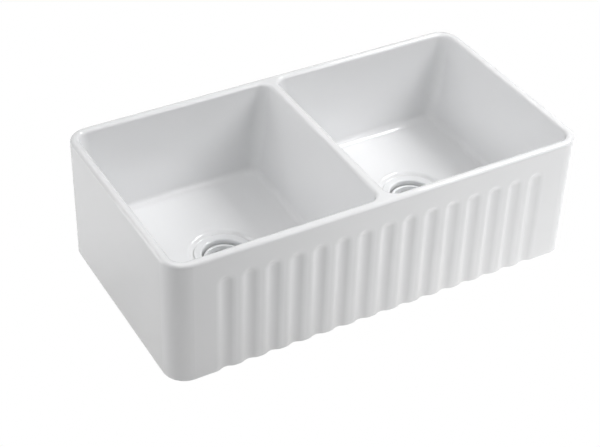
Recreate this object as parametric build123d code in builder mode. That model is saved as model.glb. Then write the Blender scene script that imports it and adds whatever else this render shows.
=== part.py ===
from build123d import *
import os

# Farmhouse apron front sink: one double bowl fireclay casting, and a basket strainer waste in each bowl.
# Frame: origin at the middle of the underside, +X right along the apron, +Y to the wall, +Z up. Millimetres.

# Driving dimensions of the casting
width = 838.0  # 33 in, along the worktop
depth = 450.0  # apron face to back
height = 254.0  # 10 in, rim to underside
corner_radius = 42.0  # outer upright corners, seen from above
apron_wall = 17.5  # walls at the top
back_wall = 16.0
side_wall = 17.0
divider_width = 18.0  # wall between the bowls
rim_round = 7.0  # glazed edges of the rim
foot_round = 2.0  # outer edge of the underside

# Bowls: every wall leans in towards the floor, by this much per millimetre of drop
floor_z = 59.0
side_lean = 0.105
divider_lean = 0.135
front_back_lean = 0.03
mouth_corner = 22.0
floor_corner = 24.0
floor_round = 15.0  # cove between walls and floor

# Apron flutes: shallow grooves with very soft edges and round tops, run out over the bottom edge
flute_count = 15
flute_pitch = 45.3
flute_width = 26.0
flute_depth = 4.5
flute_top_z = 207.0
flute_edge_round = 21.0

# Drain openings, for the common 3 1/2 in basket strainer
drain_x = 205.0  # from the middle of the sink
drain_y = 2.0
drain_radius = 45.0
seat_z = 52.0  # flat ring that the strainer's flange is sealed to
seat_radius = 58.0
dish_radius = 66.0  # where the seat's sloped side meets the bowl floor
dish_round = 10.0

# Underside: a pocket below each bowl thins the floor, and two slots hollow the wall between the bowls
pocket_x = 210.0
pocket_width = 296.0
pocket_length = 320.0
pocket_depth = 34.0
pocket_corner = 40.0
pocket_lean = 8.0  # degrees
slot_y = 95.0  # middle of each slot, leaving a web between them
slot_length = 140.0
slot_shoulder = (20.0, 70.0)  # half width and height where a slot starts to narrow
slot_top = (10.0, 150.0)

# Basket strainer waste, heights counted from the seat ring
flange_radius = 56.5
seal_thickness = 1.5
flange_thickness = 1.9
cup_radius = 43.3
cup_wall = 1.6
cup_floor = -48.0
outlet_radius = 23.8  # 1 1/2 in slip joint thread
outlet_bore = 20.5
outlet_end = -64.0
clamped = pocket_depth - seat_z  # underside of the fireclay at the drain
gasket_thickness = 3.0
friction_thickness = 1.0
locknut_height = 14.0
thread_clearance = 0.05
tail_radius = 19.05  # 1 1/2 in tube
tail_wall = 1.2
tail_length = 100.0
tail_collar = (19.7, 4.0)  # radius and length of the stronger stretch inside the nut
tail_washer = 2.0
tail_flange = 1.5

# Lift-out basket, closed: its stopper lies on the floor of the cup
basket_rim = (38.6, -7.6)
basket_mouth = 34.2
basket_floor = (29.8, -36.0)
basket_wall = 1.2
stopper_radius = 27.0
stopper_gap = 0.3
spindle_radius = 3.0

os.makedirs("parts", exist_ok=True)


def finish(piece, name):
    """Name a finished piece and write it out."""
    piece.part.label = name
    export_step(piece.part, f"parts/{name}.step")


def section_plane(x):
    """Upright plane through a drain's axis: radius across, height above the seat ring up."""
    return Plane(origin=(x, drain_y, seat_z), x_dir=(1, 0, 0), z_dir=(0, -1, 0))


def drain_axis(x):
    """Axis of a drain, pointing up."""
    return Axis((x, drain_y, seat_z), (0, 0, 1))


def turned(x, points, radii):
    """A round piece on a drain's axis, turned from its section, with a rounding for each corner."""
    with BuildPart() as piece:
        with BuildSketch(section_plane(x)):
            with BuildLine():
                FilletPolyline(*points, radius=radii, close=True)
            make_face()
        revolve(axis=drain_axis(x))
    return piece


def ring(x, inner, outer, top, thickness):
    """A flat ring on a drain's axis, given by its top face's height above the seat ring."""
    with BuildPart() as piece:
        with BuildSketch(Plane((x, drain_y, seat_z + top - thickness))):
            Circle(outer)
            Circle(inner, mode=Mode.SUBTRACT)
        extrude(amount=thickness)
    return piece


# Casting. It starts as a block with round corners.
drop = height - floor_z
mouth_near = divider_width / 2
mouth_far = width / 2 - side_wall
mouth_half_depth = (depth - apron_wall - back_wall) / 2
bowl_y = (apron_wall - back_wall) / 2
floor_near = mouth_near + divider_lean * drop
floor_far = mouth_far - side_lean * drop
floor_half_depth = mouth_half_depth - front_back_lean * drop

with BuildPart() as sink_body:
    with BuildSketch():
        RectangleRounded(width, depth, corner_radius)
    extrude(amount=height)
    # Flutes: each is a round bar's shape cut into the apron, ended by a ball
    flute_radius = (flute_width**2 / 4 + flute_depth**2) / (2 * flute_depth)
    flute_axis_y = -depth / 2 - flute_radius + flute_depth
    ball_z = flute_top_z - flute_width / 2
    with Locations((0, flute_axis_y, 0)):
        with GridLocations(flute_pitch, 1, flute_count, 1):
            Cylinder(flute_radius, ball_z, align=(Align.CENTER, Align.CENTER, Align.MIN), mode=Mode.SUBTRACT)
    with Locations((0, flute_axis_y, ball_z)):
        with GridLocations(flute_pitch, 1, flute_count, 1):
            Sphere(flute_radius, mode=Mode.SUBTRACT)
    flute_edges = (
        sink_body.edges()
        .filter_by_position(Axis.Y, -depth / 2 - 0.01, -depth / 2 + 0.01)
        .filter_by_position(Axis.Z, 1, flute_top_z + 1)
        .filter_by_position(Axis.X, -flute_pitch * flute_count / 2, flute_pitch * flute_count / 2)
    )
    fillet(flute_edges, flute_edge_round)

    # Soft foot all round, also where the flutes run out
    fillet(sink_body.faces().sort_by(Axis.Z)[0].edges(), foot_round)

    # Two bowls, each narrowing to its floor
    for side in (-1, 1):
        with BuildSketch(Plane.XY.offset(height)):
            with Locations((side * (mouth_near + mouth_far) / 2, bowl_y)):
                RectangleRounded(mouth_far - mouth_near, 2 * mouth_half_depth, mouth_corner)
        with BuildSketch(Plane.XY.offset(floor_z)):
            with Locations((side * (floor_near + floor_far) / 2, bowl_y)):
                RectangleRounded(floor_far - floor_near, 2 * floor_half_depth, floor_corner)
        loft(mode=Mode.SUBTRACT)
    fillet(sink_body.edges().filter_by_position(Axis.Z, floor_z - 0.1, floor_z + 0.1), floor_round)

    # Pockets and slots of the underside
    with BuildSketch(Plane.XY):
        with Locations((-pocket_x, 0), (pocket_x, 0)):
            RectangleRounded(pocket_width, pocket_length, pocket_corner)
    extrude(amount=pocket_depth, taper=pocket_lean, mode=Mode.SUBTRACT)
    with BuildSketch(Plane.XZ.offset(slot_y), Plane.XZ.offset(-slot_y)):
        with BuildLine():
            Polyline(
                (-slot_shoulder[0], 0),
                (-slot_shoulder[0], slot_shoulder[1]),
                (-slot_top[0], slot_top[1]),
                (slot_top[0], slot_top[1]),
                (slot_shoulder[0], slot_shoulder[1]),
                (slot_shoulder[0], 0),
                close=True,
            )
        make_face()
    extrude(amount=slot_length / 2, both=True, mode=Mode.SUBTRACT)

    # Drain openings with their sunk seats
    for x in (-drain_x, drain_x):
        slope = (dish_radius - seat_radius) / (floor_z - seat_z)
        with BuildSketch(section_plane(x)):
            with BuildLine():
                FilletPolyline(
                    (0, floor_z - seat_z + 1),
                    (dish_radius + slope, floor_z - seat_z + 1),
                    (seat_radius, 0),
                    (drain_radius, 0),
                    (drain_radius, -seat_z),
                    (0, -seat_z),
                    radius=(0, 0, 5, 2, 0, 0),
                    close=True,
                )
            make_face()
        revolve(axis=drain_axis(x), mode=Mode.SUBTRACT)
    dish_edges = (
        sink_body.edges()
        .filter_by(GeomType.CIRCLE)
        .filter_by_position(Axis.Z, floor_z - 0.1, floor_z + 0.1)
    )
    fillet(dish_edges, dish_round)

    # Soft rim, round the outside and round both bowls
    fillet(sink_body.edges().group_by(Axis.Z)[-1], rim_round)

finish(sink_body, "sink_body")


def strainer_body(x):
    """Pressed cup with a dished flange above and a threaded outlet below, crossed by two thin bars."""
    flange_top = seal_thickness + flange_thickness
    piece = turned(
        x,
        [
            (flange_radius, seal_thickness),
            (cup_radius, seal_thickness),
            (cup_radius, cup_floor - cup_wall),
            (outlet_radius, cup_floor - cup_wall),
            (outlet_radius, outlet_end),
            (outlet_bore, outlet_end),
            (outlet_bore, cup_floor),
            (cup_radius - cup_wall, cup_floor),
            (cup_radius - cup_wall, flange_top - 1.2),
            (flange_radius, flange_top),
        ],
        (0.5, 0, 6.6, 0.5, 0, 0, 1, 5, 3.5, 1.2),
    )
    with piece:
        with Locations((x, drain_y, seat_z + cup_floor - 6)):
            Box(2 * outlet_bore + 1, 3, 3)
            Box(3, 2 * outlet_bore + 1, 3)
    return piece


def basket(x):
    """Perforated cup that catches scraps, with a rolled rim."""
    rim_r, rim_z = basket_rim
    floor_r, floor_top = basket_floor
    piece = turned(
        x,
        [
            (spindle_radius, floor_top),
            (spindle_radius, floor_top - basket_wall),
            (floor_r + basket_wall, floor_top - basket_wall),
            (basket_mouth + basket_wall, rim_z - basket_wall),
            (rim_r, rim_z - basket_wall),
            (rim_r, rim_z),
            (basket_mouth, rim_z),
            (floor_r, floor_top),
        ],
        (0, 0, 6, 1, 0.5, 0.5, 2.2, 4.8),
    )
    with piece:
        for height_above_floor in (9, 18):
            with Locations((x, drain_y, seat_z + floor_top + height_above_floor)):
                with PolarLocations(floor_r + 4, 20):
                    Cylinder(2, 16, rotation=(0, 90, 0), mode=Mode.SUBTRACT)
        with Locations((x, drain_y, seat_z + floor_top)):
            with PolarLocations(21, 14):
                Cylinder(2, 8, mode=Mode.SUBTRACT)
            with PolarLocations(13, 8):
                Cylinder(2, 8, mode=Mode.SUBTRACT)
    return piece


def basket_knob(x):
    """Pull knob on a stem, whose spindle goes through the basket into the stopper."""
    floor_top = basket_floor[1]
    spindle_end = cup_floor + stopper_gap + 1.2
    return turned(
        x,
        [
            (0, spindle_end),
            (spindle_radius, spindle_end),
            (spindle_radius, floor_top),
            (7, floor_top),
            (4.5, floor_top + 5),
            (4.5, -12),
            (10.5, -9),
            (10.5, -5),
            (0, -3.5),
        ],
        (0, 0, 0, 1, 3, 4, 1.5, 2.5, 0),
    )


def basket_stopper(x):
    """Rubber plug below the basket that closes the outlet."""
    bottom = cup_floor + stopper_gap
    hub_top = basket_floor[1] - basket_wall
    return turned(
        x,
        [
            (0, bottom),
            (stopper_radius, bottom),
            (stopper_radius, bottom + 2.5),
            (9, bottom + 4),
            (9, hub_top),
            (spindle_radius, hub_top),
            (spindle_radius, bottom + 1.2),
            (0, bottom + 1.2),
        ],
        (0, 0.8, 0.8, 1.5, 0.5, 0, 0, 0),
    )


def locknut(x):
    """Heavy ring nut with six lugs, run up the cup's thread to clamp the strainer."""
    top = clamped - gasket_thickness - friction_thickness
    piece = ring(x, cup_radius + thread_clearance, 52, top, locknut_height)
    with piece:
        with Locations((x, drain_y, seat_z + top - locknut_height / 2)):
            with PolarLocations(54, 6):
                Box(8, 13, locknut_height)
        with Locations((x, drain_y, seat_z + top - locknut_height / 2)):
            Cylinder(cup_radius + thread_clearance, locknut_height, mode=Mode.SUBTRACT)
    return piece


def tailpiece(x):
    """Straight outlet tube with a small flange that the coupling nut pulls up."""
    top = outlet_end - tail_washer
    collar_r, collar_length = tail_collar
    collar_end = top - tail_flange - collar_length
    return turned(
        x,
        [
            (tail_radius - tail_wall, top),
            (outlet_radius - 0.6, top),
            (outlet_radius - 0.6, top - tail_flange),
            (collar_r, top - tail_flange),
            (collar_r, collar_end),
            (tail_radius, collar_end),
            (tail_radius, top - tail_length),
            (tail_radius - tail_wall, top - tail_length),
        ],
        (0.5, 0, 0, 0, 0, 0, 0, 0),
    )


def coupling_nut(x):
    """Ribbed slip nut: threaded on the outlet, with a lip below the tailpiece's flange."""
    lip_top = outlet_end - tail_washer - tail_flange
    nut_top = cup_floor - cup_wall - 4.4
    lip = 3.5
    with BuildPart() as piece:
        with BuildSketch(Plane((x, drain_y, seat_z + lip_top - lip))):
            Circle(28)
            with PolarLocations(28, 12):
                Circle(2.2)
        extrude(amount=nut_top - lip_top + lip)
        with BuildSketch(Plane((x, drain_y, seat_z + lip_top))):
            Circle(outlet_radius + thread_clearance)
        extrude(amount=nut_top - lip_top, mode=Mode.SUBTRACT)
        with BuildSketch(Plane((x, drain_y, seat_z + lip_top - lip))):
            Circle(tail_collar[0] + 0.3)
        extrude(amount=lip, mode=Mode.SUBTRACT)
    return piece


# The two wastes are the same
for name, x in (("left", -drain_x), ("right", drain_x)):
    finish(strainer_body(x), f"{name}_strainer_body")
    finish(ring(x, drain_radius + 1.2, flange_radius - 0.5, seal_thickness, seal_thickness), f"{name}_flange_seal")
    finish(ring(x, cup_radius + 0.7, 56, clamped, gasket_thickness), f"{name}_rubber_gasket")
    finish(ring(x, cup_radius + 0.7, 56, clamped - gasket_thickness, friction_thickness), f"{name}_friction_washer")
    finish(locknut(x), f"{name}_locknut")
    finish(ring(x, outlet_bore, outlet_radius - 0.4, outlet_end, tail_washer), f"{name}_tailpiece_washer")
    finish(tailpiece(x), f"{name}_tailpiece")
    finish(coupling_nut(x), f"{name}_coupling_nut")
    finish(basket(x), f"{name}_basket")
    finish(basket_knob(x), f"{name}_basket_knob")
    finish(basket_stopper(x), f"{name}_basket_stopper")
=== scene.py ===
"""White fireclay farmhouse sink with a fluted apron and two bowls, each with a basket strainer waste."""

import math

import bpy
import numpy as np
from mathutils import Matrix, Vector

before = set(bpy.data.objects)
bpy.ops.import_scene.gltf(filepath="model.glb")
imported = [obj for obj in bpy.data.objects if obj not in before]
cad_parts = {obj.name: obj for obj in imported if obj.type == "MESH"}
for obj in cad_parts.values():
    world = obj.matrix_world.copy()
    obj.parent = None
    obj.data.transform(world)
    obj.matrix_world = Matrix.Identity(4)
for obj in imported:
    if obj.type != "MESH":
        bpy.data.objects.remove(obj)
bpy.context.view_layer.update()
MM = 0.001

# ---------------------------------------------------------------------------------------------
# The casting. Real one: a single piece of fireclay, slip cast in a plaster mould, sponged soft at its edges and
# fired with a thick opaque white glaze. The glaze flows before it sets, so it is glassy and a little wavy. The
# underside, its pockets and its slots stay bare clay, because the kiln shelf would stick to glaze.
# ---------------------------------------------------------------------------------------------


def linear(hex_colour):
    """sRGB hex to linear RGBA: each channel is c/12.92 below 0.04045, else ((c + 0.055) / 1.055) ** 2.4."""
    srgb = np.array([int(hex_colour[i : i + 2], 16) for i in (1, 3, 5)]) / 255
    return (*np.where(srgb <= 0.04045, srgb / 12.92, ((srgb + 0.055) / 1.055) ** 2.4), 1.0)


def node(material, kind, settings=None, **links):
    """Adds one shader node. settings holds its properties, and values for its sockets by name or number; links
    holds, by socket name or as in0, in1, what goes into it: another node's output, a number or a colour."""
    made = material.node_tree.nodes.new("ShaderNode" + kind)
    for name, value in (settings or {}).items():
        if isinstance(name, str) and hasattr(made, name):
            setattr(made, name, value)
        else:
            made.inputs[name].default_value = value
    for name, source in links.items():
        socket = made.inputs[int(name[2:])] if name[2:].isdigit() else made.inputs[name.replace("_", " ")]
        if isinstance(source, bpy.types.NodeSocket):
            material.node_tree.links.new(source, socket)
        else:
            socket.default_value = source
    return made


def new_material(name, **surface):
    """A material with a Principled shader whose own sockets are set from the names given."""
    material = bpy.data.materials.new(name)
    material.use_nodes = True
    shader = material.node_tree.nodes["Principled BSDF"]
    for socket, value in surface.items():
        shader.inputs[socket.replace("_", " ")].default_value = value
    return material, shader


def grain_size(mm):
    """Noise scale whose lumps are about that many millimetres across: one noise cell is 1 / scale of a metre."""
    return 1 / (mm * MM)


def dress(material, *cad_nodes):
    """Puts a material in every slot of the CAD nodes named."""
    for name in cad_nodes:
        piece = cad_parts[name]
        if not piece.material_slots:
            piece.data.materials.append(material)
        for place in piece.material_slots:
            place.material = material


glaze, shader = new_material("glazed_fireclay", IOR=1.52)
place = node(glaze, "TexCoord").outputs["Object"]


def below(material, value, limit, soft):
    """1 where value is below limit and 0 above it, over a soft step: clamp((limit - value) / soft + 1/2)."""
    return node(
        material, "MapRange", in0=value, in1=limit - soft / 2, in2=limit + soft / 2, in3=1.0, in4=0.0
    ).outputs[0]


# Bare clay: below the glaze line and well inside the outline, or inside the slots between the bowls. The outline is
# a rectangle with round corners, so the distance from it is measured from the centres of those corners.
corner_centre = (0.377, 0.183, 1)  # metres from the middle, to the right and back; 1 keeps height out of it
bare_radius, glaze_line = 35 * MM, 40 * MM  # the outer corners' radius is 42 mm, so 7 mm of glaze goes round
slot_reach, slot_top = (21 * MM, 170 * MM), 153 * MM  # a little more than the slots' own size
edge, wander = 1 * MM, 3 * MM  # softness of the glaze line, and how far it wanders up and down

folded = node(glaze, "VectorMath", {"operation": "ABSOLUTE"}, in0=place).outputs[0]
across, along, height = node(glaze, "SeparateXYZ", in0=folded).outputs
past_corner = node(glaze, "VectorMath", {"operation": "SUBTRACT"}, in0=folded, in1=corner_centre).outputs[0]
past_corner = node(glaze, "VectorMath", {"operation": "MAXIMUM"}, in0=past_corner, in1=(0, 0, 0)).outputs[0]
outwards = node(glaze, "VectorMath", {"operation": "LENGTH"}, in0=past_corner).outputs["Value"]
ragged = node(glaze, "TexNoise", {"Scale": grain_size(9), "Detail": 3.0}, Vector=place).outputs["Fac"]
height = node(glaze, "Math", {"operation": "MULTIPLY_ADD"}, in0=ragged, in1=wander, in2=height).outputs[0]
level = wander / 2  # the noise's middle, which that sum adds to every height

in_foot = node(
    glaze,
    "Math",
    {"operation": "MULTIPLY"},
    in0=below(glaze, height, level + glaze_line, edge),
    in1=below(glaze, outwards, bare_radius, edge),
).outputs[0]
in_slot = below(glaze, height, level + slot_top, edge)
for distance, reach in ((across, slot_reach[0]), (along, slot_reach[1])):
    in_slot = node(
        glaze, "Math", {"operation": "MULTIPLY"}, in0=in_slot, in1=below(glaze, distance, reach, edge)
    ).outputs[0]
bare = below(glaze, height, level + 0.4 * MM, 0.6 * MM)
for hidden in (in_foot, in_slot):
    bare = node(glaze, "Math", {"operation": "MAXIMUM"}, in0=bare, in1=hidden).outputs[0]

# Colour: a cool white, a shade deeper where the glaze lies thick, over soft patches a hand wide
patches = node(glaze, "TexNoise", {"Scale": grain_size(140), "Detail": 2.0}, Vector=place).outputs["Fac"]
glaze_colour = node(
    glaze, "Mix", {"data_type": "RGBA"}, in0=patches, in6=linear("#e7e7e8"), in7=linear("#e4e5e6")
).outputs[2]
clay_speck = node(glaze, "TexNoise", {"Scale": grain_size(2.5), "Detail": 4.0}, Vector=place).outputs["Fac"]
clay_colour = node(
    glaze, "Mix", {"data_type": "RGBA"}, in0=clay_speck, in6=linear("#c8bba6"), in7=linear("#e0d6c4")
).outputs[2]
colour = node(glaze, "Mix", {"data_type": "RGBA"}, in0=bare, in6=glaze_colour, in7=clay_colour).outputs[2]

# Gloss and surface: slow waves from the flow of the glaze, and grit where the clay is bare
smear = node(glaze, "TexNoise", {"Scale": grain_size(35), "Detail": 3.0}, Vector=place).outputs["Fac"]
gloss = node(glaze, "MapRange", in0=smear, in3=0.07, in4=0.12).outputs[0]
roughness = node(glaze, "Mix", {"data_type": "FLOAT"}, in0=bare, in2=gloss, in3=0.85).outputs[0]
waves = node(glaze, "TexNoise", {"Scale": grain_size(60), "Detail": 1.0}, Vector=place).outputs["Fac"]
flow = node(glaze, "Bump", {"Strength": 0.25, "Distance": 0.5 * MM}, Height=waves).outputs[0]
grit = node(glaze, "Bump", {"Distance": 0.4 * MM}, Strength=bare, Height=clay_speck, Normal=flow).outputs[0]
for socket, source in (("Base Color", colour), ("Roughness", roughness), ("Normal", grit)):
    glaze.node_tree.links.new(source, shader.inputs[socket])
dress(glaze, "sink_body")

# ---------------------------------------------------------------------------------------------
# Strainers, baskets and knobs. Real ones: pressed and turned steel, white powder coated to match the sink. The
# powder melts into a smooth gloss skin with a faint orange peel, softest on the edges.
# ---------------------------------------------------------------------------------------------


def textured(material, shader, colours, grain, rough, bump, stretch=(1, 1, 1)):
    """Gives a shader a fine noise: its colour runs between two hex values, its roughness between two numbers, and
    its height makes a bump of that many millimetres. grain is the lump size in millimetres, stretch its axes."""
    where = node(material, "TexCoord").outputs["Object"]
    where = node(material, "Mapping", {"Scale": stretch}, Vector=where).outputs[0]
    lumps = node(material, "TexNoise", {"Scale": grain_size(grain), "Detail": 3.0}, Vector=where).outputs["Fac"]
    tint = node(
        material, "Mix", {"data_type": "RGBA"}, in0=lumps, in6=linear(colours[0]), in7=linear(colours[1])
    ).outputs[2]
    dull = node(material, "MapRange", in0=lumps, in3=rough[0], in4=rough[1]).outputs[0]
    skin = node(material, "Bump", {"Strength": 0.5, "Distance": bump * MM}, Height=lumps).outputs[0]
    for socket, source in (("Base Color", tint), ("Roughness", dull), ("Normal", skin)):
        material.node_tree.links.new(source, shader.inputs[socket])


sides = ("left", "right")
powder_coat, shader = new_material("white_powder_coat", IOR=1.5, Coat_Weight=0.3, Coat_Roughness=0.08)
textured(powder_coat, shader, ("#e8e9ea", "#e3e4e5"), 1.6, (0.14, 0.24), 0.02)
dress(powder_coat, *(f"{side}_{piece}" for side in sides for piece in ("strainer_body", "basket", "basket_knob")))

# ---------------------------------------------------------------------------------------------
# Stoppers and seals. Real ones: a moulded white rubber plug, a bead of plumber's putty pressed flat under the
# flange, a black rubber gasket under the clay, and a fibre ring that lets the locknut turn without twisting it.
# ---------------------------------------------------------------------------------------------

white_rubber, shader = new_material("moulded_white_rubber", IOR=1.52)
textured(white_rubber, shader, ("#dfe0e1", "#d5d6d7"), 1.2, (0.5, 0.65), 0.03)
putty, shader = new_material("plumbers_putty", IOR=1.48)
textured(putty, shader, ("#d6d0c2", "#c3bcab"), 3.0, (0.6, 0.85), 0.15)
black_rubber, shader = new_material("black_rubber", IOR=1.52)
textured(black_rubber, shader, ("#1b1b1c", "#2b2b2c"), 1.5, (0.55, 0.75), 0.05)
fibre, shader = new_material("pressed_fibre_board", IOR=1.5)
textured(fibre, shader, ("#7b5c3d", "#a4825c"), 2.0, (0.8, 0.95), 0.1, (1, 6, 1))
for side in sides:
    dress(white_rubber, f"{side}_basket_stopper")
    dress(putty, f"{side}_flange_seal")
    dress(black_rubber, f"{side}_rubber_gasket")
    dress(fibre, f"{side}_friction_washer")

# ---------------------------------------------------------------------------------------------
# Fixings below the bowls. Real ones: a die cast, zinc plated locknut, and a tailpiece tube, washer and ribbed
# coupling nut of white plastic and nylon, the tube extruded with faint lines along it.
# ---------------------------------------------------------------------------------------------

zinc, shader = new_material("zinc_plated_casting", Metallic=1.0)
textured(zinc, shader, ("#b4b8bd", "#d0d3d6"), 2.2, (0.28, 0.46), 0.05)
nylon, shader = new_material("nylon", IOR=1.53)
textured(nylon, shader, ("#e9e7e0", "#dfddd5"), 1.5, (0.35, 0.5), 0.02)
tube_plastic, shader = new_material("extruded_white_plastic", IOR=1.53)
textured(tube_plastic, shader, ("#ecedee", "#e3e4e5"), 1.2, (0.28, 0.42), 0.02, (1, 1, 0.04))
nut_plastic, shader = new_material("moulded_white_plastic", IOR=1.53)
textured(nut_plastic, shader, ("#ebeced", "#e0e1e3"), 0.9, (0.32, 0.48), 0.03)
for side in sides:
    dress(zinc, f"{side}_locknut")
    dress(nylon, f"{side}_tailpiece_washer")
    dress(tube_plastic, f"{side}_tailpiece")
    dress(nut_plastic, f"{side}_coupling_nut")

# ---------------------------------------------------------------------------------------------
# Studio: white paper that the camera sees as plain white and that glows on the right, and soft panels of light. The
# strongest hangs high on the right, so each flute is lit on its left flank and shaded on its right one, and three
# small ones overhead whiten the bowls and the rim.
# ---------------------------------------------------------------------------------------------

floor_z = -118 * MM  # 4 mm below the tailpieces
grid = np.linspace(-6, 6, 2)
corners = np.stack([*np.meshgrid(grid, grid), np.full((2, 2), floor_z)], -1).reshape(-1, 3)
floor_mesh = bpy.data.meshes.new("studio_floor")
floor_mesh.from_pydata(corners.tolist(), [], [(0, 1, 3, 2)])
floor = bpy.data.objects.new("studio_floor", floor_mesh)
bpy.context.scene.collection.objects.link(floor)
paper, shader = new_material(
    "white_paper", Base_Color=linear("#f3f3f3"), Roughness=0.9, Emission_Color=linear("#ffffff")
)
ramp, full_glow = 250 * MM, 0.6  # the glow grows from nothing left of the middle to its full strength right of it
paper_xyz = node(paper, "SeparateXYZ", in0=node(paper, "TexCoord").outputs["Object"]).outputs
glow = node(paper, "MapRange", in0=paper_xyz[0], in1=-ramp, in2=ramp, in3=0.0, in4=full_glow).outputs[0]
paper.node_tree.links.new(glow, shader.inputs["Emission Strength"])
seen = node(paper, "LightPath").outputs["Is Camera Ray"]
bright = node(paper, "Emission", {"Strength": 1.0}).outputs[0]
shown = node(paper, "MixShader", in0=seen, in1=shader.outputs[0], in2=bright).outputs[0]
paper.node_tree.links.new(shown, paper.node_tree.nodes["Material Output"].inputs[0])
floor_mesh.materials.append(paper)

world = bpy.data.worlds.new("studio")
bpy.context.scene.world = world
world.use_nodes = True
air = world.node_tree.nodes["Background"]
air.inputs[0].default_value = linear("#ffffff")
world.node_tree.links.new(node(world, "LightPath").outputs["Is Camera Ray"], air.inputs[1])


def soft_panel(name, azimuth, elevation, watts, side=1.0, distance=2.5, aim=(0, 0, 0.12)):
    """A square area light aimed at a point of the sink. Azimuth 0 is in front of the apron and 90 to its right."""
    a, e = math.radians(azimuth), math.radians(elevation)
    back = Vector((math.sin(a) * math.cos(e), -math.cos(a) * math.cos(e), math.sin(e)))
    lamp = bpy.data.lights.new(name, "AREA")
    lamp.size, lamp.energy = side, watts
    panel = bpy.data.objects.new(name, lamp)
    bpy.context.scene.collection.objects.link(panel)
    panel.location = Vector(aim) + back * distance
    panel.rotation_mode = "QUATERNION"
    panel.rotation_quaternion = back.to_track_quat("Z", "Y")
    panel.visible_camera = False


# Name, azimuth, elevation and watts, then side, distance and aim of the small ones
for panel in (
    ("high_right_key", 90, 50, 40.2),
    ("right_front", 30, 30, 11.7),
    ("high_left_front", 315, 50, 7.6),
    ("left", 270, 30, 8.2),
    ("left_back", 240, 30, 9.9),
    ("low_left_back", 240, 10, 10.5),
    ("over_left_bowl", 0, 90, 2.5, 0.58, 1.18, (-0.3, 0, 0.12)),
    ("over_right_apron", 0, 90, 2.3, 0.58, 1.18, (0.3, -0.6, 0.12)),
    ("over_right_end", 0, 90, 1.8, 0.58, 1.18, (0.9, 0, 0.12)),
):
    soft_panel(*panel)

# Camera: a long lens, 31 degrees round to the left of the apron and 38 degrees up, rolled a little
azimuth, elevation, roll = 0.53416, 0.65652, 0.03556  # radians
standpoint = (-1.18173, -1.92318, 1.78901)
focal_length, sensor_width, sideways_shift = 89.813, 36, -0.0018
look = np.array(
    [math.sin(azimuth) * math.cos(elevation), math.cos(azimuth) * math.cos(elevation), -math.sin(elevation)]
)
right = np.cross(look, (0, 0, 1))
right /= np.linalg.norm(right)
up = np.cross(right, look)
turn = np.eye(4)
turn[:3, 0] = math.cos(roll) * right + math.sin(roll) * up
turn[:3, 1] = math.cos(roll) * up - math.sin(roll) * right
turn[:3, 2] = -look
turn[:3, 3] = standpoint
camera = bpy.data.objects.new("camera", bpy.data.cameras.new("camera"))
bpy.context.scene.collection.objects.link(camera)
camera.matrix_world = Matrix(turn.tolist())
camera.data.lens, camera.data.sensor_width, camera.data.shift_x = focal_length, sensor_width, sideways_shift
bpy.context.scene.camera = camera
bpy.context.scene.view_settings.view_transform = "Standard"
